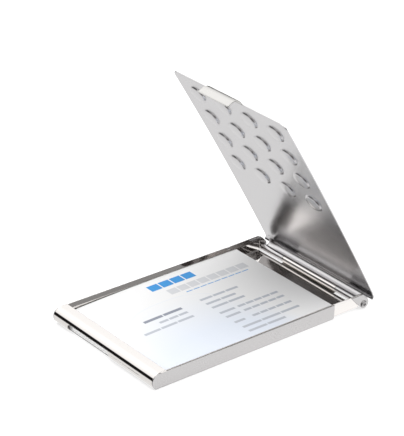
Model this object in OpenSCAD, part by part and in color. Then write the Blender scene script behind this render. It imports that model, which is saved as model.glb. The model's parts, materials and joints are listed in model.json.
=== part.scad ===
// Business card case: a satin shell and a mirror tray of folded sheet steel, and a
// domed lid on a pin hinge. X runs from the rolled front to the hinge, Y across, Z up.
// The origin is on the underside, midway along the case.

/* [Case] */
// Width over the shell's side walls
case_w = 59; // [58:0.5:62]
// Height from the underside to the rim
case_h = 6.4; // [6.4:0.1:7]
// Length from the front of the roll to the hinge pin's axis
case_l = 99.8; // [99.5:0.1:101]
// Width of the flat band over the cards' front end, behind the roll's axis
band_w = 3; // [2:0.5:4]
// Length of the shell, behind the front of the roll
shell_l = 85.1; // [80:0.1:88]
// Rim's outward lean over its height
rim_lean = 20; // [10:1:22]

/* [Lid] */
// How far the lid stands open, from closed
open_angle = 59; // [0:1:100]
// Width of the lid
lid_w = 61.5; // [61.2:0.1:64]
// Length of the lid's panel, from the hinge pin's axis
lid_l = 96.2; // [95:0.1:97]
// Rise of the lid's lengthwise arch
lid_arch = 0.7; // [0:0.1:1]
// Diameter of one dome
dome_d = 8; // [6:0.5:10]
// Height of one dome
dome_h = 0.8; // [0.4:0.1:1]
// Distance between domes along the lid
dome_step_x = 12.85; // [12:0.05:14]
// Distance between domes across the lid
dome_step_y = 14.2; // [12:0.1:15]
// Width of the spring clip
clip_w = 16.4; // [12:0.2:20]

/* [Hinge] */
// Height of the pin's axis above the underside
pin_z = 1.9; // [1.8:0.05:2]
// Radius of the pin
pin_r = 0.6; // [0.5:0.05:0.65]
// Outer radius of a knuckle
knuckle_r = 1.4; // [1.3:0.05:1.45]
// Half the length of the tray's middle knuckle
middle_half = 15; // [12:0.5:20]

/* [Cards] */
// Length of a card
card_l = 85; // [84:0.5:85]
// Width of a card
card_w = 55; // [50:0.5:55]
// Thickness of a card
card_t = 0.3; // [0.25:0.01:0.3]
// Number of flat cards under the bowed one
card_count = 8; // [1:1:8]

/* [Hidden] */

$fn = 64;
far = 200;               // longer than the case, for cutting shapes
margin = 1;              // how far cuts pass a face, and joined shapes overlap

// Sheets
shell_t = 0.35;
tray_t = 0.3;
lid_t = 0.5;
clip_t = 0.4;
lug_t = 1.15;

// Stations along the case
front_x = -50;
roll_r = case_h / 2;
roll_x = front_x + roll_r;
shell_end_x = front_x + shell_l;
shell_corner = 1.3;      // round of the side wall's lower rear corner
pin_x = front_x + case_l;

// The tray's cross-section
rim_top = case_h;
shell_top = rim_top - tray_t;          // the rim stands this sheet proud of the shell
bay_half = 28.3;                       // floor's half width
rim_h = 1.8;                           // height of the leaning rim
rim_out = rim_h * tan(rim_lean);
floor_z = shell_t;
floor_top = floor_z + tray_t;
rim_start = rim_top - rim_h;
wall_out = bay_half + tray_t;
lap_z = rim_start - tray_t * tan(rim_lean / 2);
floor_end_x = pin_x - knuckle_r - 0.3;
walls_past_pin = 4;      // more than the walls' round ends need

// The roll meets the floor where the D outline is as low as the floor
roll_end_angle = asin((roll_r - floor_z) / roll_r);

// Thumb notch in the roll: its ends across the case, and its top
notch_near_y = -4;
notch_far_y = 21;
notch_top = roll_r * (1 + sin(14));
notch_corner = 2;

// Hinge
knuckle_gap = 0.15;
pin_fit = 0.06;                        // the lid's knuckles turn on the pin with this play
bore_fit = 0.02;                       // the tray's knuckle and walls hold the pin
lug_end = [0.4, 0.3];                  // centre of the lug's round end, from the pin's axis
lug_r = 2.1;
ear_r = lug_r - 0.2;                   // round end of the tray's wall, inside the lug
lug_top_x = [-6.4, -1];                // lug's top edge, from the pin's axis
lug_top = shell_top - pin_z;
lug_out = wall_out + lug_t;
washer_r = 1.45;
washer_t = 0.5;
pin_stub = 0.2;
pin_half = lug_out + washer_t + pin_stub;

// Lid, closed, from the pin's axis
lid_in = rim_top - pin_z + 0.1;        // inner face over the pin's axis
lid_out = lid_in + lid_t;
bend_r = 2.3;
back_in = knuckle_r - lid_t;           // inner face of the back wall
bend_x = knuckle_r - bend_r;
bend_z = lid_out - bend_r;
leaf_half = bay_half - 0.25;           // half width of the lid's back wall and knuckles
side_bend = 60;                        // how far round the bend the lid's outer strips go
slot_z = 1.6;                          // the back wall's lower edge over the middle knuckle
lid_corner = 2.5;
arch_steps = 24;
dome_first = 8.7;                      // first row of domes, from the free edge
dome_rows = 4;
dome_cols = 4;
dome_r = (dome_d * dome_d / 4 + dome_h * dome_h) / (2 * dome_h);

// Clip, closed, round the roll
clip_gap = 0.1;
clip_r = roll_r + clip_gap;
clip_tail = 1.7;                       // length of the straight tail below the roll's axis
clip_lip = 0.6;                        // how far the tail's end turns outward
clip_top = 0.4;                        // how far the clip reaches behind the roll's axis

// Cards
card_end_x = shell_end_x + 0.8;        // the top card reaches just past the shell
card_shift_y = 0.4;                    // the cards lie against the far wall
stack_shift = 1.1;                     // the flat cards lie nearer the hinge than the top one
bow_drop = 1.5;                        // how far the bowed card's front end dips
bow_power = 2.6;
bow_top = rim_top - 1.45;              // upper face of the bowed card where it is highest
level_l = 18;                          // length of its level stretch, at the hinge end
bow_from = card_end_x - level_l;
bow_steps = 24;

// ---- Outlines -------------------------------------------------------------------

// Stands a drawing of X and Z upright, centred on y, with the given thickness
module upright(y, thickness) {
    translate([0, y + thickness / 2, 0])
        rotate([90, 0, 0])
            linear_extrude(thickness)
                children();
}

// The shell's side wall: round at the front, rounded at its lower rear corner
module shell_side_outline() {
    translate([roll_x, roll_r])
        circle(roll_r, $fn = 96);
    translate([roll_x, 0])
        square([shell_end_x - roll_x - shell_corner, shell_top]);
    translate([roll_x, shell_corner])
        square([shell_end_x - roll_x, shell_top - shell_corner]);
    translate([shell_end_x - shell_corner, shell_corner])
        circle(shell_corner);
}

// Where a line from point p touches the circle (c, r), on the left or the right of it
function touch(p, c, r, side) =
    let (d = norm(c - p), a = atan2(p[1] - c[1], p[0] - c[0]) + side * acos(r / d))
    c + r * [cos(a), sin(a)];

// The lug and the end of the tray's wall, from the pin's axis
module lug_outline() {
    a = [lug_top_x[0], lug_top];
    b = [lug_top_x[1], lug_top];
    polygon([a, touch(a, lug_end, lug_r, 1), lug_end, touch(b, lug_end, lug_r, -1), b]);
    translate(lug_end)
        circle(lug_r);
}

// The tray's side wall seen from the side
module wall_outline() {
    top = rim_top - pin_z;
    b = [lug_top_x[1], top];
    translate([roll_x, floor_z])
        square([floor_end_x - roll_x, rim_top - floor_z]);
    translate([pin_x, pin_z]) {
        polygon([[floor_end_x - pin_x - margin, floor_z - pin_z],
                 [floor_end_x - pin_x, floor_z - pin_z],
                 lug_end,
                 touch(b, lug_end, ear_r, -1),
                 b,
                 [floor_end_x - pin_x - margin, top]]);
        translate(lug_end)
            circle(ear_r);
    }
}

// Half of the tray's section in Y and Z, with its floor
module tray_half_section() {
    polygon([[0, floor_z], [wall_out, floor_z], [wall_out, lap_z],
             [wall_out + (rim_top - lap_z) * tan(rim_lean), rim_top],
             [bay_half + rim_out, rim_top],
             [bay_half, rim_start], [bay_half, floor_top], [0, floor_top]]);
}

// Half of the space inside the tray in Y and Z
module bay_half_section() {
    polygon([[0, floor_top], [bay_half, floor_top], [bay_half, rim_start],
             [bay_half + rim_out, rim_top], [0, rim_top]]);
}

// Runs half a section along X, on both sides of the case
module along_case() {
    for (side = [0, 1])
        mirror([0, side, 0])
            translate([roll_x, 0, 0])
                rotate([90, 0, 90])
                    linear_extrude(pin_x + walls_past_pin - roll_x)
                        children();
}

// ---- Base -----------------------------------------------------------------------

// Satin shell: bottom sheet and two side walls with round front ends
module outer_shell() {
    color("Gainsboro") {
        for (side = [-1, 1])
            upright(side * (case_w - shell_t) / 2, shell_t)
                shell_side_outline();
        upright(0, case_w)
            intersection() {
                shell_side_outline();
                translate([front_x, 0])
                    square([shell_end_x - front_x - shell_corner, shell_t]);
            }
    }
}

// The roll's section, from the band round to the floor, from the roll's axis
module roll_section() {
    run = roll_r * cos(roll_end_angle);
    difference() {
        circle(roll_r, $fn = 96);
        circle(roll_r - tray_t, $fn = 96);
        translate([0, -far / 2])
            square(far);
        translate([-far / 2, -far + floor_z - roll_r])
            square(far);
    }
    translate([-run, floor_z - roll_r])
        square([run, tray_t]);
}

// Thumb notch through the lower half of the roll, with rounded upper corners
module roll_notch() {
    length = notch_far_y - notch_near_y;
    translate([front_x - margin, notch_near_y, floor_top])
        rotate([90, 0, 90])
            linear_extrude(roll_r + margin) {
                square([length, notch_top - floor_top - notch_corner]);
                translate([notch_corner, 0])
                    square([length - 2 * notch_corner, notch_top - floor_top]);
                for (y = [notch_corner, length - notch_corner])
                    translate([y, notch_top - floor_top - notch_corner])
                        circle(notch_corner);
            }
}

// Mirror tray: floor, walls with leaning rims, front band and roll, middle knuckle
module inner_tray() {
    color("Silver")
        difference() {
            union() {
                difference() {
                    intersection() {
                        along_case()
                            tray_half_section();
                        upright(0, far)
                            wall_outline();
                    }
                    translate([floor_end_x, -bay_half, 0])
                        cube([far, 2 * bay_half, floor_top]);
                }
                translate([roll_x, -case_w / 2, shell_top])
                    cube([band_w, case_w, tray_t]);
                translate([roll_x, 0, roll_r])
                    upright(0, case_w - 2 * shell_t)
                        roll_section();
                translate([pin_x, 0, pin_z])
                    upright(0, 2 * middle_half)
                        tray_knuckle_section();
            }
            roll_notch();
            translate([pin_x, 0, pin_z])
                upright(0, far)
                    circle(pin_r + bore_fit, $fn = 48);
        }
}

// The curl from the floor round the pin, from the pin's axis
module tray_knuckle_section() {
    run = 1.5;           // how far the tongue reaches back under the floor's end
    circle(knuckle_r);
    translate([-knuckle_r - run, floor_z - pin_z])
        square([knuckle_r + run, tray_t]);
}

// Satin lug outside the tray's wall, bored for the pin
module hinge_lug() {
    color("LightGray")
        difference() {
            translate([pin_x, 0, pin_z])
                upright(wall_out + lug_t / 2, lug_t)
                    lug_outline();
            along_case() {
                tray_half_section();
                bay_half_section();
            }
            translate([pin_x, 0, pin_z])
                upright(0, far)
                    circle(pin_r, $fn = 48);
        }
}

// Hinge pin, its ends standing just proud of the washers
module hinge_pin() {
    color("DarkGray")
        translate([pin_x, 0, pin_z])
            upright(0, 2 * pin_half)
                circle(pin_r, $fn = 48);
}

// Washer pressed on one end of the pin
module pin_washer() {
    color("LightSlateGray")
        translate([pin_x, 0, pin_z])
            upright(lug_out + washer_t / 2, washer_t)
                difference() {
                    circle(washer_r);
                    circle(pin_r, $fn = 48);
                }
}

// ---- Lid ------------------------------------------------------------------------

// Height of the lid's arch at a distance from the pin's axis
function arch(s) = 4 * lid_arch * (s / lid_l) * (1 - s / lid_l);

// The panel's arched section, closed, from the pin's axis
module panel_section() {
    steps = [for (i = [0 : arch_steps]) bend_x + (-lid_l - bend_x) * i / arch_steps];
    polygon(concat([for (x = steps) [x, lid_in + arch(-x) - arch(-bend_x)]],
                   [for (i = [arch_steps : -1 : 0])
                       [steps[i], lid_out + arch(-steps[i]) - arch(-bend_x)]]));
}

// The bend behind the pin, turning down by the given angle
module bend_section(turn) {
    translate([bend_x, bend_z])
        difference() {
            circle(bend_r);
            circle(bend_r - lid_t);
            translate([-far, -far / 2])
                square(far);
            rotate(90 - turn)
                translate([-far / 2, -far])
                    square(far);
        }
}

// The back wall and the knuckle that it curls into
module leaf_section() {
    translate([back_in, 0])
        square([lid_t, bend_z]);
    circle(knuckle_r);
}

// One dome of the sheet, pressed inward by dome_h from the sheet's inner face at z = 0
module dome() {
    intersection() {
        translate([0, 0, lid_t - dome_h + dome_r])
            difference() {
                sphere(dome_r + lid_t, $fn = 128);
                sphere(dome_r, $fn = 128);
            }
        translate([0, 0, -dome_h - margin])
            cylinder(h = dome_h + margin + lid_t, d = dome_d);
    }
}

// Puts its children at each dome's place on the closed lid's inner face
module at_domes() {
    for (i = [0 : dome_rows - 1], j = [0 : dome_cols - 1]) {
        s = lid_l - dome_first - i * dome_step_x;
        translate([-s, (j - (dome_cols - 1) / 2) * dome_step_y,
                   lid_in + arch(s) - arch(-bend_x)])
            children();
    }
}

// The panel's plan, with its free corners rounded
module panel_plan() {
    translate([-lid_l + lid_corner, -lid_w / 2])
        square([far, lid_w]);
    translate([-lid_l, -lid_w / 2 + lid_corner])
        square([far, lid_w - 2 * lid_corner]);
    for (side = [-1, 1])
        translate([-lid_l + lid_corner, side * (lid_w / 2 - lid_corner)])
            circle(lid_corner);
}

// Turns the closed lid about the pin to where it stands open
module opened() {
    translate([pin_x, 0, pin_z])
        rotate([0, open_angle, 0])
            children();
}

// Satin lid: arched panel with sixteen domes, rear bend, back wall and two knuckles
module lid_panel() {
    color("LightGray")
        opened() {
            difference() {
                union() {
                    intersection() {
                        upright(0, lid_w)
                            panel_section();
                        translate([0, 0, -far / 2])
                            linear_extrude(far)
                                panel_plan();
                    }
                    upright(0, lid_w)
                        bend_section(side_bend);
                    upright(0, 2 * leaf_half)
                        bend_section(90);
                    upright(0, 2 * leaf_half)
                        leaf_section();
                }
                at_domes()
                    translate([0, 0, -margin])
                        cylinder(h = lid_t + 2 * margin, d = dome_d);
                upright(0, far)
                    circle(pin_r + pin_fit, $fn = 48);
                upright(0, 2 * (middle_half + knuckle_gap))
                    translate([-far / 2, -far + slot_z])
                        square(far);
            }
            at_domes()
                dome();
        }
}

// The clip's section, closed, from the roll's axis: round the roll, then straight down
module clip_section() {
    difference() {
        circle(clip_r + clip_t, $fn = 96);
        circle(clip_r, $fn = 96);
        translate([clip_top, -far / 2])
            square(far);
        translate([-far / 2, -far])
            square(far);
    }
    translate([-clip_r - clip_t, -clip_tail])
        square([clip_t, clip_tail]);
    translate([-clip_r - clip_t - clip_lip, -clip_tail - clip_t])
        square([clip_lip + clip_t, clip_t]);
}

// Polished clip on the lid's free edge
module lid_clip() {
    color("WhiteSmoke")
        opened()
            translate([roll_x - pin_x, 0, roll_r - pin_z])
                upright(0, clip_w)
                    clip_section();
}

// ---- Cards ----------------------------------------------------------------------

// One flat card of the stack, counted from the bottom
module card(i) {
    color("White")
        translate([card_end_x - card_l + stack_shift, card_shift_y - card_w / 2,
                   floor_top + (i - 1) * card_t])
            cube([card_l, card_w, card_t]);
}

// Height of the bowed card's upper face at x
function bow(x) = bow_top - bow_drop * pow(max(0, bow_from - x)
                  / (bow_from - card_end_x + card_l), bow_power);

// The bowed card on top, its front end pressed down under the band
module top_card() {
    xs = [for (i = [0 : bow_steps]) card_end_x - card_l + card_l * i / bow_steps];
    color("AliceBlue")
        upright(card_shift_y, card_w)
            polygon(concat([for (x = xs) [x, bow(x)]],
                           [for (i = [bow_steps : -1 : 0]) [xs[i], bow(xs[i]) - card_t]]));
}

// ---- Nodes ----------------------------------------------------------------------

outer_shell();
inner_tray();
mirror([0, 1, 0]) hinge_lug();  // hinge_lug_near
hinge_lug();  // hinge_lug_far
hinge_pin();
mirror([0, 1, 0]) pin_washer();  // pin_washer_near
pin_washer();  // pin_washer_far
lid_panel();
lid_clip();
card(1);  // card_1
card(2);  // card_2
card(3);  // card_3
card(4);  // card_4
card(5);  // card_5
card(6);  // card_6
card(7);  // card_7
card(8);  // card_8
top_card();
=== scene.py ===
"""Looks of the business card case: folded satin and mirror steel, paper cards, a white studio.

Lengths are in millimetres until a mesh is written out. X runs from the rolled front to the
hinge, Y across the case and Z up, as in the CAD frame.
"""

import json
import math
import random

import bmesh
import bpy
from mathutils import Matrix, Vector
from mathutils.geometry import delaunay_2d_cdt


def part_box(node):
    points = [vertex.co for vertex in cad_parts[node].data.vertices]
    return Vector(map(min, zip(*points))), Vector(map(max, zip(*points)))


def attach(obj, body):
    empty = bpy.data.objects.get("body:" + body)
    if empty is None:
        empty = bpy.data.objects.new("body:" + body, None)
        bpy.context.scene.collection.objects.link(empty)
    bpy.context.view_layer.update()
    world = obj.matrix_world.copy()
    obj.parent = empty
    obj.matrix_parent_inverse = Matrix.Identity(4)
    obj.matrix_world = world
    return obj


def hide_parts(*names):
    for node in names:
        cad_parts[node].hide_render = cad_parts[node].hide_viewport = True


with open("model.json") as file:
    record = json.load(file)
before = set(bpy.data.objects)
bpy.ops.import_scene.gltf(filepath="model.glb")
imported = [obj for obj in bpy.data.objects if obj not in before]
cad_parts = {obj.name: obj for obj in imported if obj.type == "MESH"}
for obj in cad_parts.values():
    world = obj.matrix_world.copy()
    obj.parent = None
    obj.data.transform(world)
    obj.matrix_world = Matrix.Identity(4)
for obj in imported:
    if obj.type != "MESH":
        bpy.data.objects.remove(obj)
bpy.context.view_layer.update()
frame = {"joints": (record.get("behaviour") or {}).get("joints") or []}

MM = 0.001
random.seed(7)


def box_mm(node):
    """(lowest corner, highest corner) of a CAD node, in millimetres."""
    low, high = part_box(node)
    return low / MM, high / MM


# ---- Sizes taken from the frame ---------------------------------------------------

shell_low, shell_high = box_mm("outer_shell")
tray_high = box_mm("inner_tray")[1]
pin_low, pin_high = box_mm("hinge_pin")
washer_low, washer_high = box_mm("pin_washer_far")
lug_low, lug_high = box_mm("hinge_lug_far")
lid_low, lid_high = box_mm("lid_panel")
top_low, top_high = box_mm("top_card")

FRONT_X = shell_low.x
SHELL_END_X = shell_high.x
CASE_W = shell_high.y - shell_low.y
RIM_TOP = tray_high.z
ROLL_R = RIM_TOP / 2
ROLL_X = FRONT_X + ROLL_R
PIN_X = (pin_low.x + pin_high.x) / 2
PIN_Z = (pin_low.z + pin_high.z) / 2
PIN_R = (pin_high.z - pin_low.z) / 2
LID_W = lid_high.y - lid_low.y
OPEN_ANGLE = -math.radians(frame["joints"][0]["range_deg"][0])

# Sheets and bends
SHELL_T = 0.35
TRAY_T = 0.3
LID_T = 0.5
CLIP_T = 0.4
FOLD_R = 0.5            # middle radius of the fold between a floor and its wall
RIM_H = 1.8             # height of the leaning rim on top of the tray's wall
RIM_LEAN = math.radians(20)
BAND_W = 3.0
BAY_HALF = 28.3         # from the middle to the inner face of the tray's wall
WALL_MID = BAY_HALF + TRAY_T / 2
KNUCKLE_R = 1.4
MIDDLE_HALF = 15.0      # half the length of the middle knuckle
FLOOR_GAP = 0.3         # between the floor's end and the lid's knuckles
FLOOR_END_X = PIN_X - KNUCKLE_R - FLOOR_GAP
CLOSED_GAP = 0.1        # between the closed lid, or its clip, and the case

# ---- Meshes from folded sheets ----------------------------------------------------


def arc(centre, radius, start, end, step):
    """Points on an arc, at most a step apart, with angles in degrees."""
    count = max(2, math.ceil(abs(end - start) / step))
    angles = [math.radians(start + (end - start) * i / count) for i in range(count + 1)]
    return [Vector((centre[0] + radius * math.cos(a), centre[1] + radius * math.sin(a)))
            for a in angles]


class Path:
    """A polyline read by its length, with the stretches between its points kept straight."""

    def __init__(self, points):
        self.points = [points[0]]
        self.at = [0.0]
        for p in points[1:]:
            step = (p - self.points[-1]).length
            if step > 1e-6:
                self.points.append(p)
                self.at.append(self.at[-1] + step)
        self.length = self.at[-1]

    def point(self, s):
        s = min(max(s, 0.0), self.length)
        i = 1
        while i < len(self.at) - 1 and self.at[i] < s:
            i += 1
        t = (s - self.at[i - 1]) / (self.at[i] - self.at[i - 1])
        return self.points[i - 1].lerp(self.points[i], t)


def lay_out(bm, outline, creases, fold):
    """Adds a flat blank, cut to its outline and split at its creases, then folded point by point."""
    points = [Vector(p) for p in outline]
    if sum(a.cross(b) for a, b in zip(points, points[1:] + points[:1])) < 0:
        points.reverse()
    edges = []
    for crease in creases:
        first = len(points)
        points += [Vector(p) for p in crease]
        edges += [(i, i + 1) for i in range(first, len(points) - 1)]
    verts, _, faces, _, _, parents = delaunay_2d_cdt(
        points, edges, [list(range(len(outline)))], 0, 1e-5)
    made = {}
    for face, parent in zip(faces, parents):
        if not parent:
            continue
        corners = []
        for i in face:
            if i not in made:
                made[i] = bm.verts.new(Vector(fold(*verts[i])) * MM)
            corners.append(made[i])
        bm.faces.new(corners)


def new_object(name, bm, material):
    mesh = bpy.data.meshes.new(name)
    bmesh.ops.recalc_face_normals(bm, faces=bm.faces)
    bm.to_mesh(mesh)
    bm.free()
    for face in mesh.polygons:
        face.use_smooth = True
    mesh.materials.append(material)
    obj = bpy.data.objects.new(name, mesh)
    bpy.context.scene.collection.objects.link(obj)
    return obj


def thicken(obj, thickness, edge):
    """Gives a folded blank its thickness, half on each side, and rounds its cut edges."""
    solid = obj.modifiers.new("thickness", "SOLIDIFY")
    solid.thickness = thickness * MM
    solid.offset = 0
    solid.use_even_offset = True
    round_edges(obj, edge)


def round_edges(obj, width, angle=50):
    bevel = obj.modifiers.new("rounded_edges", "BEVEL")
    bevel.width = width * MM
    bevel.segments = 3
    bevel.limit_method = "ANGLE"
    bevel.angle_limit = math.radians(angle)
    bevel.use_clamp_overlap = False
    bevel.harden_normals = True


def place(obj, body, nodes):
    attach(obj, body)
    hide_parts(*nodes)


def smooth_step(low, high, value):
    t = min(max((value - low) / (high - low), 0), 1)
    return t * t * (3 - 2 * t)


# ---- Materials --------------------------------------------------------------------


class Nodes:
    """A short way to add and link shader nodes in one tree."""

    def __init__(self, tree):
        self.tree = tree

    def add(self, kind, *inputs, **settings):
        node = self.tree.nodes.new(kind)
        for key, value in settings.items():
            setattr(node, key, value)
        for socket, value in zip(node.inputs, inputs):
            self.put(value, socket)
        return node.outputs[0]

    def put(self, value, socket):
        if isinstance(value, bpy.types.NodeSocket):
            self.tree.links.new(value, socket)
        elif value is not None:
            socket.default_value = value

    def math(self, operation, a, b=None):
        return self.add("ShaderNodeMath", a, b, operation=operation)

    def dot(self, a, b):
        self.add("ShaderNodeVectorMath", a, b, operation="DOT_PRODUCT")
        return self.tree.nodes[-1].outputs["Value"]

    def object_point(self):
        node = self.tree.nodes.new("ShaderNodeTexCoord")
        return node.outputs["Object"]

    def stretched(self, point, x, y, z):
        """point with each axis scaled, so that a noise runs in streaks."""
        return self.add("ShaderNodeMapping", point, (0, 0, 0), (0, 0, 0), (x, y, z))

    def noise(self, point, scale, detail):
        node = self.tree.nodes.new("ShaderNodeTexNoise")
        self.put(point, node.inputs["Vector"])
        node.inputs["Scale"].default_value = scale
        node.inputs["Detail"].default_value = detail
        return node.outputs["Fac"]

    def tinted(self, color, tone):
        """color scaled by a grey tone."""
        return self.add("ShaderNodeVectorMath", (*color,), tone, operation="MULTIPLY")

    def between(self, value, from_low, from_high, to_low, to_high):
        """value mapped from one range to another, and kept inside it."""
        return self.add("ShaderNodeMapRange", value, from_low, from_high, to_low, to_high)

    def mix(self, factor, a, b):
        node = self.tree.nodes.new("ShaderNodeMix")
        node.data_type = "RGBA"
        self.put(factor, node.inputs[0])
        self.put(a, node.inputs[6])
        self.put(b, node.inputs[7])
        return node.outputs[2]

    def bump(self, height, strength, distance):
        node = self.tree.nodes.new("ShaderNodeBump")
        node.inputs["Strength"].default_value = strength
        node.inputs["Distance"].default_value = distance
        self.put(height, node.inputs["Height"])
        return node.outputs["Normal"]


def new_material(name):
    """(material, its node helper, its Principled shader's inputs)"""
    mat = bpy.data.materials.new(name)
    mat.use_nodes = True
    nodes = Nodes(mat.node_tree)
    return mat, nodes, mat.node_tree.nodes["Principled BSDF"].inputs


def satin_steel(name, color, roughness, along=(1, 40, 40)):
    """Fine matt steel: short drawn streaks, a cloudy roughness and a very slight unevenness."""
    mat, n, shader = new_material(name)
    point = n.object_point()
    streaks = n.noise(n.stretched(point, *along), scale=900, detail=4)
    cloud = n.noise(point, scale=45, detail=2)
    tone = n.between(streaks, 0.3, 0.7, 0.94, 1.04)
    n.put(n.tinted(color, tone), shader["Base Color"])
    rough = n.between(cloud, 0.3, 0.7, roughness * 0.93, roughness * 1.07)
    n.put(n.math("ADD", rough, n.between(streaks, 0, 1, -0.02, 0.02)), shader["Roughness"])
    n.put(n.bump(streaks, strength=0.12, distance=0.02 * MM), shader["Normal"])
    shader["Metallic"].default_value = 1.0
    return mat


def mirror_steel(name, color, roughness):
    """Polished steel: faint polishing lines, a few smudges and a barely wavy surface."""
    mat, n, shader = new_material(name)
    point = n.object_point()
    lines = n.noise(n.stretched(point, 1, 60, 60), scale=260, detail=3)
    smudge = n.noise(point, scale=60, detail=4)
    wave = n.noise(point, scale=60, detail=1)
    n.put((*color, 1), shader["Base Color"])
    rough = n.between(smudge, 0.35, 0.75, roughness, roughness * 2.2)
    n.put(n.math("ADD", rough, n.between(lines, 0.4, 0.8, 0, 0.03)), shader["Roughness"])
    n.put(n.bump(wave, strength=0.02, distance=0.05 * MM), shader["Normal"])
    shader["Metallic"].default_value = 1.0
    return mat


def paper_nodes(n, shader):
    """Card's fibre grain and its soft dull surface."""
    point = n.object_point()
    grain = n.noise(point, scale=2500, detail=4)
    n.put(n.bump(grain, strength=0.15, distance=0.03 * MM), shader["Normal"])
    n.put(n.between(grain, 0.3, 0.7, 0.55, 0.7), shader["Roughness"])
    shader["Specular IOR Level"].default_value = 0.35
    return point, grain


def plain_paper(name, color):
    mat, n, shader = new_material(name)
    _, grain = paper_nodes(n, shader)
    tone = n.between(grain, 0.3, 0.7, 0.97, 1.0)
    n.put(n.tinted(color, tone), shader["Base Color"])
    return mat


# Printed bars on the card: (colour, left, right, lowest, highest) in millimetres, and how many
# word-like pieces the bar is broken into
BLUE = (0.035, 0.26, 0.60)
SILVER = (0.58, 0.59, 0.61)
INK = (0.24, 0.26, 0.31)
PALE_INK = (0.44, 0.46, 0.51)
PRINT = [
    (BLUE, -11.5, 10.0, 20.2, 24.4, 4),
    (SILVER, -7.0, 31.0, 14.2, 18.0, 8),
    (BLUE, -1.5, 29.0, 12.3, 12.75, 9),
    (INK, -28.0, -10.0, 3.4, 4.9, 2),
    (PALE_INK, -23.5, -10.0, 0.0, 1.3, 3),
    (PALE_INK, -33.0, -10.0, -3.5, -2.2, 3),
    (PALE_INK, -1.5, 17.0, 3.8, 5.1, 3),
    (PALE_INK, -1.5, 13.0, 0.2, 1.5, 2),
    (PALE_INK, -1.5, 14.5, -3.2, -1.9, 2),
    (PALE_INK, -1.5, 5.5, -8.0, -6.7, 1),
    (PALE_INK, 6.8, 26.6, -8.0, -6.7, 5),
    (PALE_INK, -1.5, 5.2, -11.6, -10.3, 1),
    (PALE_INK, 6.8, 26.6, -11.6, -10.3, 5),
    (PALE_INK, -1.5, 3.4, -16.4, -15.1, 1),
    (PALE_INK, 6.8, 26.0, -16.4, -15.1, 5),
    (PALE_INK, -1.5, 26.0, -20.8, -19.5, 3),
    (PALE_INK, -1.5, 16.4, -24.2, -22.9, 2),
]


SWEEP_X, SWEEP_Y = -14.0, 12.0      # highest point of the faint swept line
SWEEP_REACH, SWEEP_DROP = 22.0, 9.0  # the line falls by this drop at this distance from it
SWEEP_BEND = 3.0                    # power of its fall
SWEEP_BLUE = (0.45, 0.58, 0.78)
GROUND_BLUE = (0.66, 0.70, 0.77)
WORD_GAP = 0.25
PRINT_EDGE = 0.06                   # softness of a bar's edge


def printed_paper(name, color):
    """White card, tinted pale blue under a faint swept line, with abstract bars."""
    mat, n, shader = new_material(name)
    point, _ = paper_nodes(n, shader)
    split = n.tree.nodes.new("ShaderNodeSeparateXYZ")
    n.put(point, split.inputs[0])
    x, y = (n.math("DIVIDE", out, MM) for out in split.outputs[:2])
    away = n.math("ABSOLUTE", n.math("DIVIDE", n.math("SUBTRACT", x, SWEEP_X), SWEEP_REACH))
    fall = n.math("MULTIPLY", n.math("POWER", away, SWEEP_BEND), SWEEP_DROP)
    under = n.math("SUBTRACT", n.math("SUBTRACT", SWEEP_Y, fall), y)
    tint = n.between(under, -1.0, 26.0, 0.0, 1.0)
    ground = n.mix(tint, (*color, 1), (*GROUND_BLUE, 1))
    line = n.between(n.math("ABSOLUTE", under), 0.15, 0.5, 1.0, 0.0)
    ground = n.mix(n.math("MULTIPLY", line, 0.10), ground, (*SWEEP_BLUE, 1))
    for ink, left, right, low, high, words in PRINT:
        inside_x = n.math("MINIMUM", n.math("SUBTRACT", x, left), n.math("SUBTRACT", right, x))
        inside_y = n.math("MINIMUM", n.math("SUBTRACT", y, low), n.math("SUBTRACT", high, y))
        if words > 1:
            step = (right - left) / words
            gap = n.math("PINGPONG", n.math("SUBTRACT", x, left), step / 2)
            inside_x = n.math("MINIMUM", inside_x, n.math("SUBTRACT", gap, WORD_GAP))
        inside = n.math("MINIMUM", inside_x, inside_y)
        cover = n.between(inside, -PRINT_EDGE, PRINT_EDGE, 0.0, 1.0)
        ground = n.mix(cover, ground, (*ink, 1))
    n.put(ground, shader["Base Color"])
    return mat


SATIN = satin_steel("satin_steel", (0.475, 0.465, 0.465), 0.27)
LID_SATIN = satin_steel("lid_satin_steel", (0.555, 0.545, 0.55), 0.21)
MIRROR = mirror_steel("mirror_steel", (0.70, 0.675, 0.655), 0.025)
POLISHED = mirror_steel("polished_steel", (0.55, 0.54, 0.525), 0.22)
TURNED = satin_steel("turned_steel", (0.42, 0.41, 0.41), 0.2, (40, 1, 40))
PAPER = plain_paper("card_paper", (0.9, 0.9, 0.895))
PRINTED = printed_paper("printed_paper", (0.76, 0.76, 0.76))

# ---- Shell ------------------------------------------------------------------------


def channel(half, floor_mid, top, lean_at=None):
    """Path of a U-shaped section in Y and Z, from its floor's middle up one wall."""
    points = [Vector((0, floor_mid)), Vector((half - FOLD_R, floor_mid))]
    points += arc((half - FOLD_R, floor_mid + FOLD_R), FOLD_R, -90, 0, 15)
    if lean_at is None:
        return Path(points + [Vector((half, top))])
    bend = 0.6      # radius where the rim starts to lean
    points += arc((half + bend, lean_at), bend, 180, 180 - math.degrees(RIM_LEAN), 5)
    last = points[-1]
    return Path(points + [Vector((last.x + (top - last.y) * math.tan(RIM_LEAN), top))])


ROWS_ACROSS = 40        # rows between a channel's floor middle and its rim
SAME_POINT = 1e-4


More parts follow.
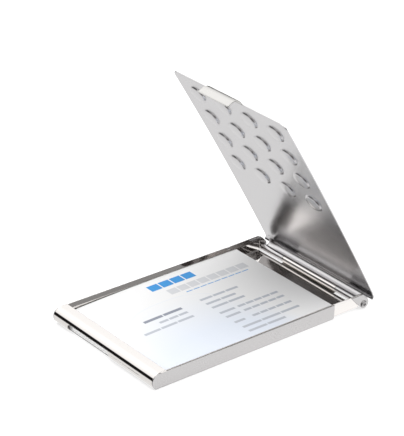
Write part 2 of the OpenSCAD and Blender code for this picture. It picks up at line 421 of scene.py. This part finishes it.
def channel_blank(section, front, rear):
    """Outline of a channel's blank. front and rear give the X of its ends at a point of the
    section."""
    even = {section.length * i / ROWS_ACROSS for i in range(ROWS_ACROSS + 1)}
    across = sorted({round(s, 4) for s in section.at} | even)
    across = [s for s in across if s <= section.length]
    side = [(rear(section.point(s)), s) for s in across]
    head = [(front(section.point(s)), s) for s in across]
    half = side + head[::-1]
    other = [(u, -v) for u, v in half[::-1]]
    outline = half + other
    clean = []
    for p in outline:
        if not clean or (Vector(p) - Vector(clean[-1])).length > SAME_POINT:
            clean.append(p)
    if (Vector(clean[0]) - Vector(clean[-1])).length < SAME_POINT:
        clean.pop()
    return clean


def long_creases(section, start, end):
    """Creases along a channel, at each point of its section and on both sides."""
    rows = []
    for s in section.at:
        for side in ((1, -1) if s > 0 else (1,)):
            rows.append([(start, side * s), (end, side * s)])
    return rows


def build_shell():
    """Satin outer sheet: floor and two walls, rounded at the front to follow the roll."""
    below_top = 0.3     # the wall stops this far under the top of the CAD shell
    corner = 1.3        # radius of the rear ends' lower corners
    section = channel(CASE_W / 2 - SHELL_T / 2, SHELL_T / 2, shell_high.z - below_top)

    def front(p):
        return ROLL_X - math.sqrt(max(ROLL_R ** 2 - (p.y - ROLL_R) ** 2, 0))

    def rear(p):
        rise = max(corner - p.y, 0)
        return SHELL_END_X - corner + math.sqrt(max(corner ** 2 - rise ** 2, 0))

    def fold(u, v):
        p = section.point(abs(v))
        return u, math.copysign(p.x, v), p.y

    bm = bmesh.new()
    creases = long_creases(section, FRONT_X - 1, SHELL_END_X + 1)
    lay_out(bm, channel_blank(section, front, rear), creases, fold)
    shell = new_object("shell", bm, SATIN)
    thicken(shell, SHELL_T, edge=0.09)
    place(shell, "base", ["outer_shell"])


# ---- Tray -------------------------------------------------------------------------

EAR = Vector((PIN_X + 0.4, PIN_Z + 0.3))    # centre of the wall's round rear end, in X and Z
EAR_R = 1.9
EAR_TOP_X = PIN_X - 0.6                     # rear end of the rim
EAR_CORNER = 1.1                            # radius of the rim's rear corner
EAR_COLUMNS = 8
UNDER_ANGLES = (2, 16, 32, 46)              # degrees up the ear's round underside, from its lowest point
RELIEF = (31.7, 33.6)                       # start and end of the small cut in the rim, in X
RELIEF_DEPTH = 1.0
FLARE = 0.4                                 # how far the rim leans out further at its rear end
STATION_STEP = 1.0
MERGE = 1e-6                                # points nearer than this are joined, in metres


def ear_end(z):
    """X of the wall's rear end at a height: round at the rim, a straight slant, then the ear."""
    a = Vector((EAR_TOP_X, RIM_TOP))
    to = a - EAR
    turn = math.atan2(to.y, to.x) - math.acos(EAR_R / to.length)
    b = EAR + EAR_R * Vector((math.cos(turn), math.sin(turn)))
    if z > b.y:
        slant = a.x + (b.x - a.x) * (a.y - z) / (a.y - b.y)
        rise = max(z - (RIM_TOP - EAR_CORNER), 0)
        return slant + math.sqrt(EAR_CORNER ** 2 - rise ** 2) - EAR_CORNER
    return EAR.x + math.sqrt(max(EAR_R ** 2 - (z - EAR.y) ** 2, 0))


def ear_start(z):
    """X where the ear begins at a height: the floor's end, or the ear's round underside."""
    if z > EAR.y:
        return FLOOR_END_X
    return max(FLOOR_END_X, EAR.x - math.sqrt(max(EAR_R ** 2 - (z - EAR.y) ** 2, 0)))


def sheet(bm, rows, missing=()):
    """Joins rows of points into quads, leaving out the (row, column) cells that are missing."""
    grid = [[bm.verts.new(Vector(p) * MM) for p in row] for row in rows]
    for i in range(len(grid) - 1):
        for j in range(len(grid[0]) - 1):
            if (i, j) not in missing:
                bm.faces.new((grid[i][j], grid[i][j + 1], grid[i + 1][j + 1], grid[i + 1][j]))


def trough(bm):
    """Floor and walls, with the ears that carry the pin, from one U-shaped section."""
    section = channel(WALL_MID, SHELL_T + TRAY_T / 2, RIM_TOP - RELIEF_DEPTH, RIM_TOP - RIM_H)
    rim_x = section.points[-1].x + RELIEF_DEPTH * math.tan(RIM_LEAN)
    points = section.points + [Vector((rim_x, RIM_TOP))]
    wall_from = next(i for i, p in enumerate(points) if p.x > WALL_MID - 0.01)

    def place_at(x, p, side):
        lean = max(p.y - (RIM_TOP - RIM_H), 0) / RIM_H
        return x, side * (p.x + FLARE * smooth_step(RELIEF[0], EAR_TOP_X, x) * lean), p.y

    stations = [ROLL_X, 0.0, *RELIEF]
    while stations[-1] < FLOOR_END_X - STATION_STEP:
        stations.append(stations[-1] + STATION_STEP)
    stations.append(FLOOR_END_X)
    relief_cell = (len(points) - 2, stations.index(RELIEF[0]))
    shares = [i / EAR_COLUMNS for i in range(EAR_COLUMNS + 1)]
    under = [Vector((WALL_MID, EAR.y - EAR_R * math.cos(math.radians(a)))) for a in UNDER_ANGLES]
    for side in (-1, 1):
        rows = [[place_at(x, p, side) for x in stations] for p in points]
        sheet(bm, rows, [relief_cell])
        rows = [[place_at(ear_start(p.y) + (ear_end(p.y) - ear_start(p.y)) * t, p, side)
                 for t in shares] for p in under + points[wall_from:]]
        sheet(bm, rows)
    bmesh.ops.remove_doubles(bm, verts=bm.verts, dist=MERGE)


NOTCH_NEAR_Y, NOTCH_FAR_Y, NOTCH_CORNER = -4.0, 21.0, 2.0
NOTCH_TOP_ANGLE = 14    # degrees above the roll's foremost line


def front_roll(bm):
    """Band and roll, one sheet, with the thumb notch cut up into the roll's lower half."""
    r = ROLL_R - TRAY_T / 2
    end_angle = 180 + math.degrees(math.asin((ROLL_R - SHELL_T) / ROLL_R))
    band_edge = Vector((ROLL_X + BAND_W, RIM_TOP - TRAY_T / 2))
    path = Path([band_edge] + arc((ROLL_X, ROLL_R), r, 90, end_angle, 4))
    half = CASE_W / 2 - SHELL_T
    band = CASE_W / 2
    wide_to, narrow_from = BAND_W - 0.6, BAND_W - 0.4
    corner_s = BAND_W + r * math.radians(90 - NOTCH_TOP_ANGLE) + NOTCH_CORNER
    near = arc((NOTCH_NEAR_Y + NOTCH_CORNER, corner_s), NOTCH_CORNER, 180, 270, 10)
    far = arc((NOTCH_FAR_Y - NOTCH_CORNER, corner_s), NOTCH_CORNER, 270, 360, 10)
    outline = [(0, -band), (wide_to, -band), (narrow_from, -half), (path.length, -half),
               (path.length, NOTCH_NEAR_Y)]
    outline += [(s, y) for y, s in near + far]
    outline += [(path.length, NOTCH_FAR_Y), (path.length, half), (narrow_from, half),
                (wide_to, band), (0, band)]
    creases = [[(s, -band - 1), (s, band + 1)] for s in path.at]

    def fold(s, y):
        p = path.point(s)
        return p.x, y, p.y

    lay_out(bm, outline, creases, fold)


CURL_FROM, CURL_TO = -112, 236      # middle knuckle's arc round the pin, in degrees


def middle_knuckle(bm):
    """Floor's tongue, curled up round the pin from below, with its end left just open."""
    r = KNUCKLE_R - TRAY_T / 2
    floor_mid = SHELL_T + TRAY_T / 2
    path = Path([Vector((FLOOR_END_X - 0.4, floor_mid)), Vector((PIN_X - 0.9, floor_mid))]
                + arc((PIN_X, PIN_Z), r, CURL_FROM, CURL_TO, 6))
    outline = [(0, -MIDDLE_HALF), (path.length, -MIDDLE_HALF), (path.length, MIDDLE_HALF),
               (0, MIDDLE_HALF)]
    creases = [[(s, -MIDDLE_HALF - 1), (s, MIDDLE_HALF + 1)] for s in path.at]

    def fold(s, y):
        p = path.point(s)
        return p.x, y, p.y

    lay_out(bm, outline, creases, fold)


def build_tray():
    """Mirror-polished sheet inside the shell, with its roll, band and middle knuckle."""
    bm = bmesh.new()
    trough(bm)
    front_roll(bm)
    middle_knuckle(bm)
    tray = new_object("tray", bm, MIRROR)
    thicken(tray, TRAY_T, edge=0.13)
    place(tray, "base", ["inner_tray"])


# ---- Hinge ------------------------------------------------------------------------


def build_lugs():
    """Satin plates outside the tray's wall, with round rear ends."""
    lug_r = 2.1
    inner, outer = WALL_MID + TRAY_T / 2, lug_high.y
    top = lug_high.z
    start = Vector((lug_low.x, top))
    end = Vector((EAR_TOP_X, top))

    def touch(p, side):
        to = p - EAR
        turn = math.atan2(to.y, to.x) + side * math.acos(lug_r / to.length)
        return math.degrees(turn)

    first, last = touch(start, 1), touch(end, -1)
    outline = [start] + arc(EAR, lug_r, first, last + 360, 5) + [end]
    for side, name in ((-1, "near"), (1, "far")):
        bm = bmesh.new()
        face = bm.faces.new([bm.verts.new(Vector((p.x, side * inner, p.y)) * MM) for p in outline])
        made = bmesh.ops.extrude_face_region(bm, geom=[face])
        shift = Vector((0, side * (outer - inner) * MM, 0))
        moved = [v for v in made["geom"] if isinstance(v, bmesh.types.BMVert)]
        bmesh.ops.translate(bm, vec=shift, verts=moved)
        lug = new_object(f"lug_{name}", bm, SATIN)
        round_edges(lug, width=0.16, angle=40)
        place(lug, "base", [f"hinge_lug_{name}"])


def lathe(bm, profile, side):
    """Turns (distance along the pin, radius) points round the hinge's axis."""
    rings = []
    count = 48
    for along, radius in profile:
        ring = []
        for i in range(count):
            a = 2 * math.pi * i / count
            ring.append(bm.verts.new(Vector((PIN_X + radius * math.cos(a), side * along,
                                             PIN_Z + radius * math.sin(a))) * MM))
        rings.append(ring)
    for a, b in zip(rings, rings[1:]):
        for i in range(count):
            j = (i + 1) % count
            bm.faces.new((a[i], a[j], b[j], b[i]))
    return rings


def build_pin():
    """Rivet pin with hollow, slightly flared ends."""
    end = pin_high.y
    hollow, depth = 0.42, 1.2
    rim, soft = 0.1, 0.03
    flare, flare_depth = 0.04, 0.12
    tip, tip_r = 0.2, 0.02
    half = [(0, PIN_R), (end - rim, PIN_R), (end - soft, PIN_R - soft), (end, PIN_R - rim),
            (end - soft, hollow + flare), (end - flare_depth, hollow), (end - depth, hollow),
            (end - depth - tip, tip_r)]
    bm = bmesh.new()
    for side in (-1, 1):
        rings = lathe(bm, half, side)
        bm.faces.new(rings[-1])
    bmesh.ops.remove_doubles(bm, verts=bm.verts, dist=1e-7)
    pin = new_object("pin", bm, TURNED)
    place(pin, "base", ["hinge_pin"])


def build_washers():
    """Domed rings that hold the pin's ends."""
    inner, outer = washer_low.y, washer_high.y
    big = (washer_high.z - washer_low.z) / 2
    soft = 0.08
    dome_from = inner + 0.15
    hole_r = PIN_R + 0.1
    sink = 0.06
    profile = [(inner, PIN_R), (inner, big - soft), (inner + soft, big)]
    for angle in range(0, 91, 10):
        t = math.radians(angle)
        profile.append((dome_from + (outer - dome_from) * math.sin(t),
                        hole_r + (big - hole_r) * math.cos(t)))
    profile.append((outer - sink, PIN_R))
    for side, name in ((-1, "near"), (1, "far")):
        bm = bmesh.new()
        rings = lathe(bm, profile, side)
        for i in range(len(rings[0])):
            j = (i + 1) % len(rings[0])
            bm.faces.new((rings[-1][i], rings[-1][j], rings[0][j], rings[0][i]))
        washer = new_object(f"washer_{name}", bm, TURNED)
        place(washer, "base", [f"pin_washer_{name}"])


# ---- Lid --------------------------------------------------------------------------

LID_L = 96.2
LID_ARCH = 0.7
LID_IN = RIM_TOP - PIN_Z + CLOSED_GAP       # closed lid's inner face over the pin's axis
LID_OUT = LID_IN + LID_T
BEND_R = 2.9
BEND = Vector((KNUCKLE_R - BEND_R, LID_OUT - BEND_R))
BEND_SIDES_TO = 60                          # degrees of the bend at the lid's full width
LEAF_HALF = BAY_HALF - 0.25                 # half width of the back wall and its knuckles
KNUCKLE_GAP = 0.15
SLOT_TOP = 1.6                              # top of the middle knuckle's slot, over the pin's axis
LEAF_CURL_TO = -285                         # end of the lid's knuckles' arc, in degrees
LID_CORNER = 2.5
LID_ROWS = 40
DOME_ROWS, DOME_COLUMNS = 4, 4
DOME_R, DOME_TOP_R, DOME_H = 4.0, 3.25, 0.8
DOME_CROWN = 0.14                           # rise of a dome's top from its edge to its middle
DOME_CLEAR = 0.9                            # straight creases keep this far off the domes
DOME_FIRST, DOME_STEP_X, DOME_STEP_Y = 8.7, 12.85, 14.2
# Radii of the crease rings of a dome, close together where its side starts and ends
DOME_RINGS = (0.8, 1.6, 2.3, 2.8, 3.1, 3.25, 3.35, 3.5, 3.65, 3.8, 3.9, 4.0, 4.1, 4.4)


def opened(x, y, z):
    """A point of the closed lid, from the pin's axis, turned to where the lid stands open."""
    c, s = math.cos(OPEN_ANGLE), math.sin(OPEN_ANGLE)
    return PIN_X + x * c + z * s, y, PIN_Z - x * s + z * c


def dome_centres():
    """Middle of each dome: distance from the pin along the lid, and Y."""
    return [(LID_L - DOME_FIRST - i * DOME_STEP_X, (j - (DOME_COLUMNS - 1) / 2) * DOME_STEP_Y)
            for i in range(DOME_ROWS) for j in range(DOME_COLUMNS)]


def dome_rise(r):
    """How far a dome stands in at a distance from its middle: a slightly domed top on a
    steep side."""
    side = min(max((r - DOME_TOP_R) / (DOME_R - DOME_TOP_R), 0), 1)
    top = DOME_CROWN * (1 - min(r / DOME_TOP_R, 1) ** 2)
    return top + (DOME_H - DOME_CROWN) * (1 - (side + smooth_step(0, 1, side)) / 2)


def clear_of_domes(at, reach, across):
    """Stretches of a straight line, from -reach to reach, that keep off the domes. The line
    runs across the lid at a distance from its pin, or along the lid at a distance from its
    middle."""
    keep_off = DOME_R + DOME_CLEAR
    cuts = []
    for s, v in dome_centres():
        here, there = (s, v) if across else (v, s)
        if abs(at - here) < keep_off:
            half = math.sqrt(keep_off ** 2 - (at - here) ** 2)
            cuts.append((there - half, there + half))
    ends = [-reach] + [e for cut in sorted(cuts) for e in cut] + [reach]
    return list(zip(ends[::2], ends[1::2]))


def build_lid():
    """One sheet: arched panel with its domes, rear bend, back wall and two curled knuckles."""
    bend_mid = BEND_R - LID_T / 2
    panel_z = LID_IN + LID_T / 2
    curl_r = KNUCKLE_R - LID_T / 2
    section = Path([Vector((BEND.x, panel_z))] + arc(BEND, bend_mid, 90, 0, 6)
                   + [Vector((curl_r, SLOT_TOP))] + arc((0, 0), curl_r, 0, LEAF_CURL_TO, 8))
    panel = LID_L + BEND.x
    side_s = bend_mid * math.radians(BEND_SIDES_TO)
    slot_s = bend_mid * math.pi / 2 + (BEND.y - SLOT_TOP)
    half, slot = LID_W / 2, MIDDLE_HALF + KNUCKLE_GAP
    end = section.length
    base = 4 * LID_ARCH * (-BEND.x / LID_L) * (1 + BEND.x / LID_L)

    # The blank runs from the free edge at -panel, past the bend at 0, to the curl's end
    outline = [(side_s, half), (side_s, LEAF_HALF), (end, LEAF_HALF), (end, slot), (slot_s, slot),
               (slot_s, -slot), (end, -slot), (end, -LEAF_HALF), (side_s, -LEAF_HALF), (side_s, -half)]
    outline += arc((-panel + LID_CORNER, -half + LID_CORNER), LID_CORNER, -90, -180, 8)
    outline += arc((-panel + LID_CORNER, half - LID_CORNER), LID_CORNER, 180, 90, 8)
    creases = [[(s, -half - 1), (s, half + 1)] for s in section.at]
    for i in range(1, LID_ROWS):
        u = -panel * i / LID_ROWS
        creases += [[(u, a), (u, b)] for a, b in clear_of_domes(-u - BEND.x, half + 1, True)]
    for centre, y in dome_centres():
        for r in DOME_RINGS:
            ring = arc((-centre - BEND.x, y), r, 0, 360, 7.5 if r > 2 else 15)
            creases.append(ring[:-1] + [ring[0]])

    def fold(u, v):
        if u >= 0:
            p = section.point(u)
            return opened(p.x, v, p.y)
        s = -u - BEND.x
        rise = 4 * LID_ARCH * (s / LID_L) * (1 - s / LID_L) - base
        rise -= sum(dome_rise(math.hypot(s - c, v - y)) for c, y in dome_centres())
        return opened(-s, v, panel_z + rise)

    bm = bmesh.new()
    lay_out(bm, outline, creases, fold)
    lid = new_object("lid", bm, LID_SATIN)
    thicken(lid, LID_T, edge=0.1)
    place(lid, "lid", ["lid_panel"])


def build_clip():
    """Polished strip curled to follow the roll, with a turned-out lip at the end of its tail."""
    half = 8.2
    r = ROLL_R + CLOSED_GAP + CLIP_T / 2
    tail = 1.7
    lip_r = 0.35
    lip = Vector((-0.45, -0.05))
    centre = Vector((ROLL_X - PIN_X, ROLL_R - PIN_Z))
    points = arc(centre, r, 84, 180, 5)
    foot = points[-1] - Vector((0, tail - lip_r))
    points += arc(foot - Vector((lip_r, 0)), lip_r, 0, -80, 15)
    path = Path(points + [points[-1] + lip])
    outline = [(0, -half), (path.length, -half), (path.length, half), (0, half)]
    creases = [[(s, -half - 1), (s, half + 1)] for s in path.at]

    def fold(s, y):
        p = path.point(s)
        return opened(p.x, y, p.y)

    bm = bmesh.new()
    lay_out(bm, outline, creases, fold)
    clip = new_object("clip", bm, POLISHED)
    thicken(clip, CLIP_T, edge=0.1)
    place(clip, "lid", ["lid_clip"])


# ---- Cards ------------------------------------------------------------------------

CARD_T = 0.3
CARD_FILL = 0.99        # share of its thickness that a card takes up, so that none touch
CARD_COUNT = 8
CARD_ROWS = 28
CARD_SHIFT = 0.12       # how far a flat card may lie off its place
BOW_LENGTH = 18         # the top card is level for this far from its rear end
BOW_DROP, BOW_BEND = 1.5, 2.6


def card_mesh(name, low_x, high_x, low_y, high_y, height, material):
    """One card whose middle surface follows height(x)."""
    bm = bmesh.new()
    outline = [(low_x, low_y), (high_x, low_y), (high_x, high_y), (low_x, high_y)]
    rows = [low_x + (high_x - low_x) * i / CARD_ROWS for i in range(1, CARD_ROWS)]
    creases = [[(x, low_y - 1), (x, high_y + 1)] for x in rows]
    lay_out(bm, outline, creases, lambda x, y: (x, y, height(x)))
    card = new_object(name, bm, material)
    thicken(card, CARD_T * CARD_FILL, edge=0.03)
    return card


def build_cards():
    """Eight flat cards, laid a little unevenly, and the printed one bowed down to the front."""
    for i in range(1, CARD_COUNT + 1):
        low, high = box_mm(f"card_{i}")
        dx = random.uniform(-CARD_SHIFT, CARD_SHIFT)
        dy = random.uniform(-CARD_SHIFT, CARD_SHIFT)
        middle = (low.z + high.z) / 2
        card = card_mesh(f"flat_card_{i}", low.x + dx, high.x + dx, low.y + dy, high.y + dy,
                         lambda x, z=middle: z, PAPER)
        place(card, "base", [f"card_{i}"])
    level_from = top_high.x - BOW_LENGTH

    def bow(x):
        share = max(0.0, level_from - x) / (level_from - top_low.x)
        return top_high.z - CARD_T / 2 - BOW_DROP * share ** BOW_BEND

    card = card_mesh("printed_card", top_low.x, top_high.x, top_low.y, top_high.y, bow, PRINTED)
    place(card, "top_card", ["top_card"])


# ---- Studio -----------------------------------------------------------------------


# Directions in the room, as seen by someone facing the case from its front near corner
NEAR_RIGHT = (0.64, -0.77, 0)
FAR_LEFT = (-0.74, 0.67, 0)
NEAR_SIDE = (-0.64, -0.77, -0.15)
# (height from 0 straight down to 1 straight up, level)
WHITE_LEVELS = [(0, 1.05), (0.5, 1.05), (0.66, 1.25), (0.8, 1.45), (0.9, 1.7), (1, 2.6)]
BAND_LEVELS = [(0, 0), (0.40, 0), (0.435, 1), (0.645, 1), (0.68, 0), (1, 0)]
LOW_BOOST = 0.35
ROOM_RIGHT, ROOM_LEFT = 0.34, 0.012
DIM = (0.06, 0.05, 0.05)


def ramp_node(n, value, stops):
    """A grey ramp through (position, level) stops."""
    node = n.tree.nodes.new("ShaderNodeValToRGB")
    ramp = node.color_ramp
    for element, (at, level) in zip(ramp.elements, (stops[0], stops[-1])):
        element.position = at
        element.color = (level, level, level, 1)
    for at, level in stops[1:-1]:
        ramp.elements.new(at).color = (level, level, level, 1)
    n.put(value, node.inputs["Fac"])
    return node.outputs["Color"]


def build_world():
    """White above and below, brightest overhead and stronger low on the near right, with a dim
    band of room between them that is darkest far left, and a dark patch on the near side."""
    world = bpy.data.worlds.new("studio")
    bpy.context.scene.world = world
    world.use_nodes = True
    world.node_tree.nodes.clear()
    n = Nodes(world.node_tree)
    coords = n.tree.nodes.new("ShaderNodeTexCoord").outputs["Generated"]
    split = n.tree.nodes.new("ShaderNodeSeparateXYZ")
    n.put(coords, split.inputs[0])
    x, y, z = split.outputs
    height = n.between(z, -1, 1, 0, 1)
    white = ramp_node(n, height, WHITE_LEVELS)
    front = n.between(n.dot(coords, NEAR_RIGHT), 0.1, 0.6, 0, 1)
    low = n.between(height, 0.3, 0.5, LOW_BOOST, 0)
    white = n.mix(n.math("MULTIPLY", front, low), white, (2, 2, 2, 1))
    band = ramp_node(n, height, BAND_LEVELS)
    room = n.between(n.dot(coords, FAR_LEFT), -1, 0.9, ROOM_RIGHT, ROOM_LEFT)
    level = n.mix(band, white, room)
    near = n.between(n.dot(coords, NEAR_SIDE), 0.6, 0.88, 0, 1)
    level = n.mix(near, level, (*DIM, 1))
    light = n.tree.nodes.new("ShaderNodeBackground")
    n.put(level, light.inputs["Color"])
    plain = n.tree.nodes.new("ShaderNodeBackground")
    plain.inputs["Color"].default_value = (1, 1, 1, 1)
    path = n.tree.nodes.new("ShaderNodeLightPath")
    seen = n.tree.nodes.new("ShaderNodeMixShader")
    n.put(path.outputs["Is Camera Ray"], seen.inputs["Fac"])
    n.put(light.outputs[0], seen.inputs[1])
    n.put(plain.outputs[0], seen.inputs[2])
    out = n.tree.nodes.new("ShaderNodeOutputWorld")
    n.put(seen.outputs[0], out.inputs["Surface"])


def build_floor():
    """Pale floor, lit from within a little so that only a faint shadow shows."""
    bm = bmesh.new()
    bmesh.ops.create_grid(bm, x_segments=1, y_segments=1, size=3)
    mat, n, shader = new_material("floor_white")
    shader["Base Color"].default_value = (0.5, 0.5, 0.5, 1)
    shader["Roughness"].default_value = 0.9
    shader["Specular IOR Level"].default_value = 0.1
    shader["Emission Color"].default_value = (1, 1, 1, 1)
    shader["Emission Strength"].default_value = 0.6
    floor = new_object("floor", bm, mat)
    floor.visible_glossy = False


def build_camera():
    """A long lens from the front corner, a little above the case and very slightly rolled."""
    cam = bpy.data.objects.new("camera", bpy.data.cameras.new("camera"))
    bpy.context.scene.collection.objects.link(cam)
    target = Vector((0.985, 7.571, 37.111)) * MM
    distance = 726.83 * MM
    azimuth, elevation, roll = (math.radians(a) for a in (39.952, 26.665, 1.781))
    back = Vector((-math.cos(elevation) * math.sin(azimuth),
                   -math.cos(elevation) * math.cos(azimuth),
                   math.sin(elevation)))
    cam.data.sensor_width = 36
    cam.data.lens = 164.73
    level_right = Vector((math.cos(azimuth), -math.sin(azimuth), 0))
    level_up = back.cross(level_right)
    right = math.cos(roll) * level_right + math.sin(roll) * level_up
    up = back.cross(right)
    cam.matrix_world = Matrix((right, up, back)).transposed().to_4x4()
    cam.location = target + back * distance
    bpy.context.scene.camera = cam


build_shell()
build_tray()
build_lugs()
build_pin()
build_washers()
build_lid()
build_clip()
build_cards()
build_world()
build_floor()
build_camera()
bpy.context.scene.view_settings.view_transform = "Standard"
